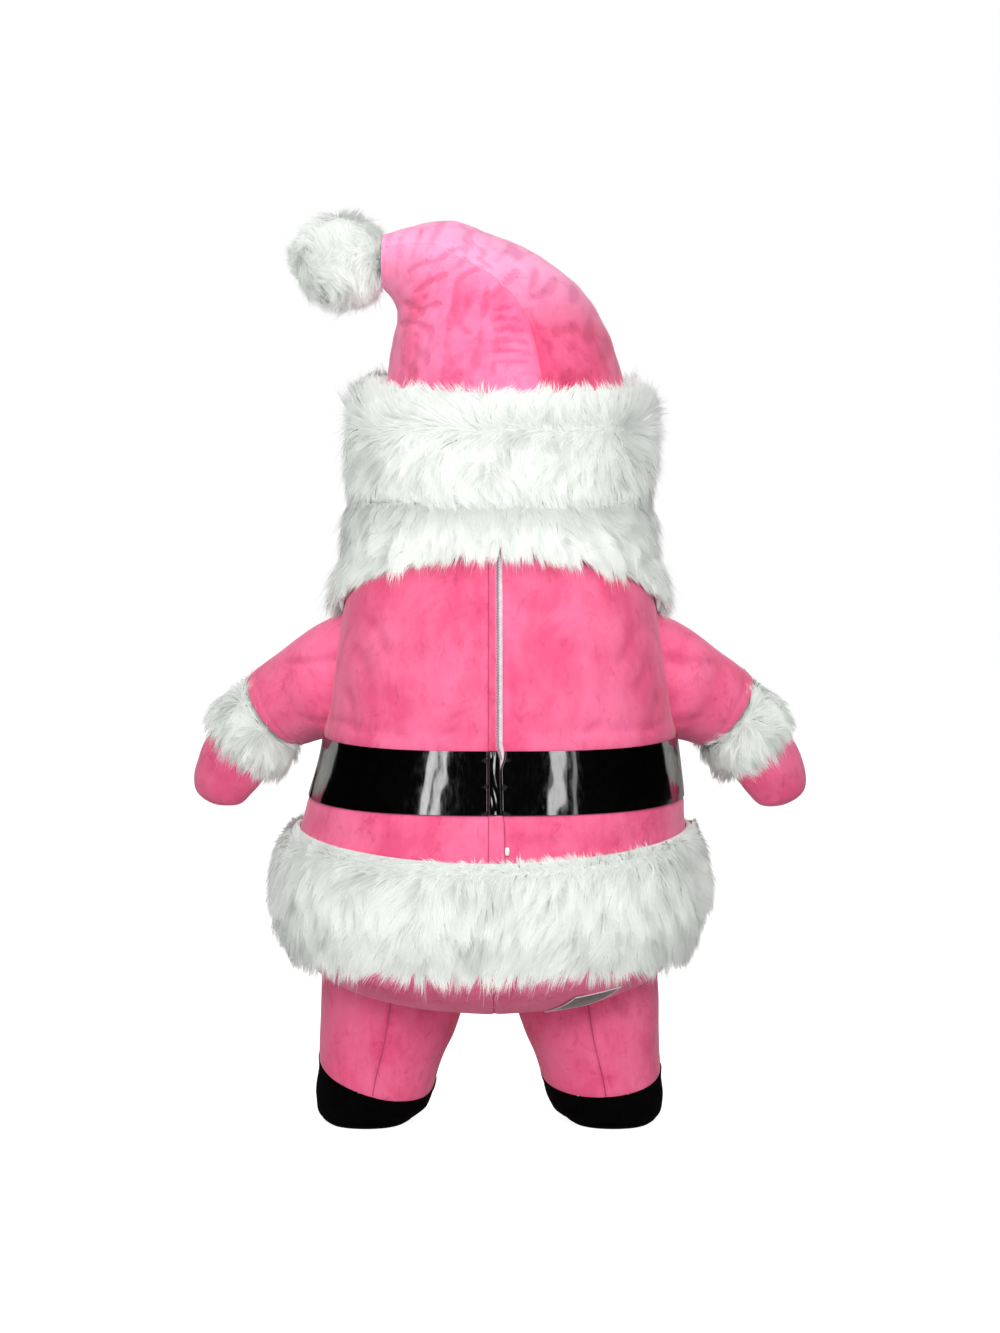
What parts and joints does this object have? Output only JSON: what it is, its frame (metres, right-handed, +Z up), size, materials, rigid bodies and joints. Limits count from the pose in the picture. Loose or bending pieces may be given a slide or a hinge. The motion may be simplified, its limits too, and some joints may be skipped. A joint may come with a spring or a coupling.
{
  "type": "santa mascot costume",
  "caption": "Hollow plush santa suit in its worn, filled-out form: barrel body with fur hem, belt and back zip, mittens, boots, and a fur-brimmed hat head.",
  "frame": {"origin": "middle of the neck opening, 1.4 m above the soles, where the wearer's shoulders carry the suit", "axes": "+Z up, +X towards the wearer's left, +Y towards the back with the zip"},
  "size_m": [1.4384, 0.9973, 2.0874],
  "materials": {
    "pink_plush": "short-pile velour with nap",
    "white_fur": "long-pile fur",
    "black_patent": "high gloss",
    "black_plush": "short-pile plush",
    "zip_white": "woven tape and moulded slider",
    "grey_mesh": "open mesh",
    "face_plush": "short-pile plush",
    "eye_black": "gloss"
  },
  "bodies": {
    "root": {"body_front": "pink_plush", "body_back_left": "pink_plush", "body_back_right": "pink_plush", "base_left": "pink_plush", "base_right": "pink_plush", "leg_left": "pink_plush", "leg_right": "pink_plush", "sleeve_left": "pink_plush", "sleeve_right": "pink_plush", "mitten_left": "pink_plush", "mitten_right": "pink_plush", "flap_upper": "pink_plush", "flap_lower": "pink_plush", "hat_left": "pink_plush", "hat_right": "pink_plush", "hem_fur": "white_fur", "cuff_fur_left": "white_fur", "cuff_fur_right": "white_fur", "pompom": "white_fur", "brim_fur": "white_fur", "hair_fur": "white_fur", "beard_fur": "white_fur", "moustache_left": "white_fur", "moustache_right": "white_fur", "belt": "black_patent", "flap_belt": "black_patent", "boot_left": "black_plush", "boot_right": "black_plush", "sole_left": "black_plush", "sole_right": "black_plush", "zip_tape": "zip_white", "zip_slider": "zip_white", "vent_mesh": "grey_mesh", "face": "face_plush", "nose": "face_plush", "eye_left": "eye_black", "eye_right": "eye_black"}
  },
  "joints": []
}
